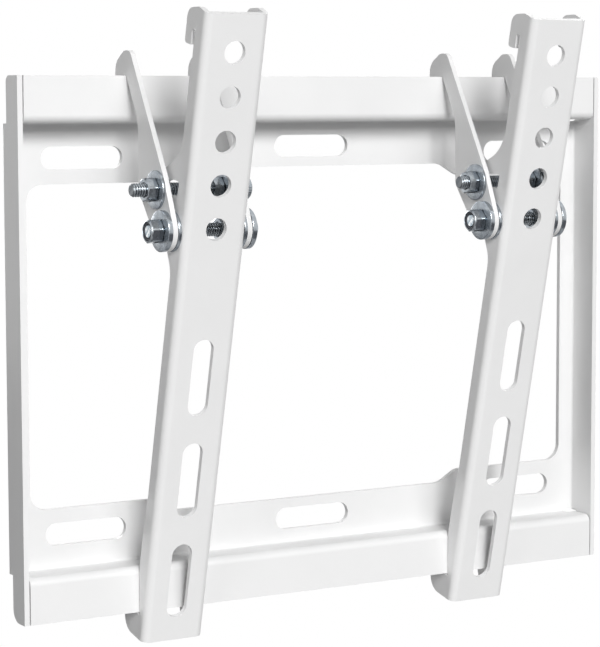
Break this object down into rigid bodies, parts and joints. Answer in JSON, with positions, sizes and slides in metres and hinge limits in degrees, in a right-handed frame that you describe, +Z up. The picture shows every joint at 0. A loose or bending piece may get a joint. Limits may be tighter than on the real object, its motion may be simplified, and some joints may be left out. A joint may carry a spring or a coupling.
{
  "type": "tilting tv wall bracket",
  "caption": "Low-profile tilting wall bracket for a flat screen: folded wall plate with two rails and two slotted channel arms hung on hook plates with pivot and lock bolts.",
  "frame": {"origin": "middle of the wall plate, on the wall", "axes": "+X along the wall to the viewer's right, +Y into the wall, +Z up"},
  "size_m": [0.26, 0.0719, 0.2341],
  "materials": {
    "white_powder_coat": "satin powder coat",
    "zinc_plated_steel": "bright bluish zinc plating",
    "nylon": "matte"
  },
  "bodies": {
    "wall": {"wall_plate": "white_powder_coat"},
    "left_hanger": {"left_hook_plate_nut_side": "white_powder_coat", "left_hook_plate_head_side": "white_powder_coat", "left_pivot_bolt": "zinc_plated_steel", "left_pivot_lock_nut": "zinc_plated_steel", "left_pivot_lock_nut_insert": "nylon", "left_pivot_washer_nut_side": "zinc_plated_steel", "left_pivot_washer_head_side": "zinc_plated_steel", "left_pivot_spacer_nut_side": "zinc_plated_steel", "left_pivot_spacer_head_side": "zinc_plated_steel", "left_pivot_inner_washer": "zinc_plated_steel", "left_pivot_inner_nut": "zinc_plated_steel", "left_lock_bolt": "zinc_plated_steel", "left_lock_nut": "zinc_plated_steel", "left_lock_washer": "zinc_plated_steel", "left_lock_spacer_nut_side": "zinc_plated_steel", "left_lock_spacer_head_side": "zinc_plated_steel", "left_lock_inner_washer": "zinc_plated_steel", "left_lock_inner_nut": "zinc_plated_steel"},
    "left_arm": {"left_arm": "white_powder_coat"},
    "right_hanger": {"right_hook_plate_nut_side": "white_powder_coat", "right_hook_plate_head_side": "white_powder_coat", "right_pivot_bolt": "zinc_plated_steel", "right_pivot_lock_nut": "zinc_plated_steel", "right_pivot_lock_nut_insert": "nylon", "right_pivot_washer_nut_side": "zinc_plated_steel", "right_pivot_washer_head_side": "zinc_plated_steel", "right_pivot_spacer_nut_side": "zinc_plated_steel", "right_pivot_spacer_head_side": "zinc_plated_steel", "right_pivot_inner_washer": "zinc_plated_steel", "right_pivot_inner_nut": "zinc_plated_steel", "right_lock_bolt": "zinc_plated_steel", "right_lock_nut": "zinc_plated_steel", "right_lock_washer": "zinc_plated_steel", "right_lock_spacer_nut_side": "zinc_plated_steel", "right_lock_spacer_head_side": "zinc_plated_steel", "right_lock_inner_washer": "zinc_plated_steel", "right_lock_inner_nut": "zinc_plated_steel"},
    "right_arm": {"right_arm": "white_powder_coat"}
  },
  "joints": [
    {"name": "left_hanger_slide", "type": "slide", "parent": "wall", "child": "left_hanger", "axis": [1, 0, 0], "range_m": [-0.0405, 0.045]},
    {"name": "left_arm_tilt", "type": "hinge", "parent": "left_hanger", "child": "left_arm", "pos_m": [-0.0708, -0.0448, 0.04425], "axis": [1, 0, 0], "range_deg": [-26, 0]},
    {"name": "right_hanger_slide", "type": "slide", "parent": "wall", "child": "right_hanger", "axis": [1, 0, 0], "range_m": [-0.045, 0.043]},
    {"name": "right_arm_tilt", "type": "hinge", "parent": "right_hanger", "child": "right_arm", "pos_m": [0.0683, -0.0448, 0.04425], "axis": [1, 0, 0], "range_deg": [-26, 0]}
  ]
}
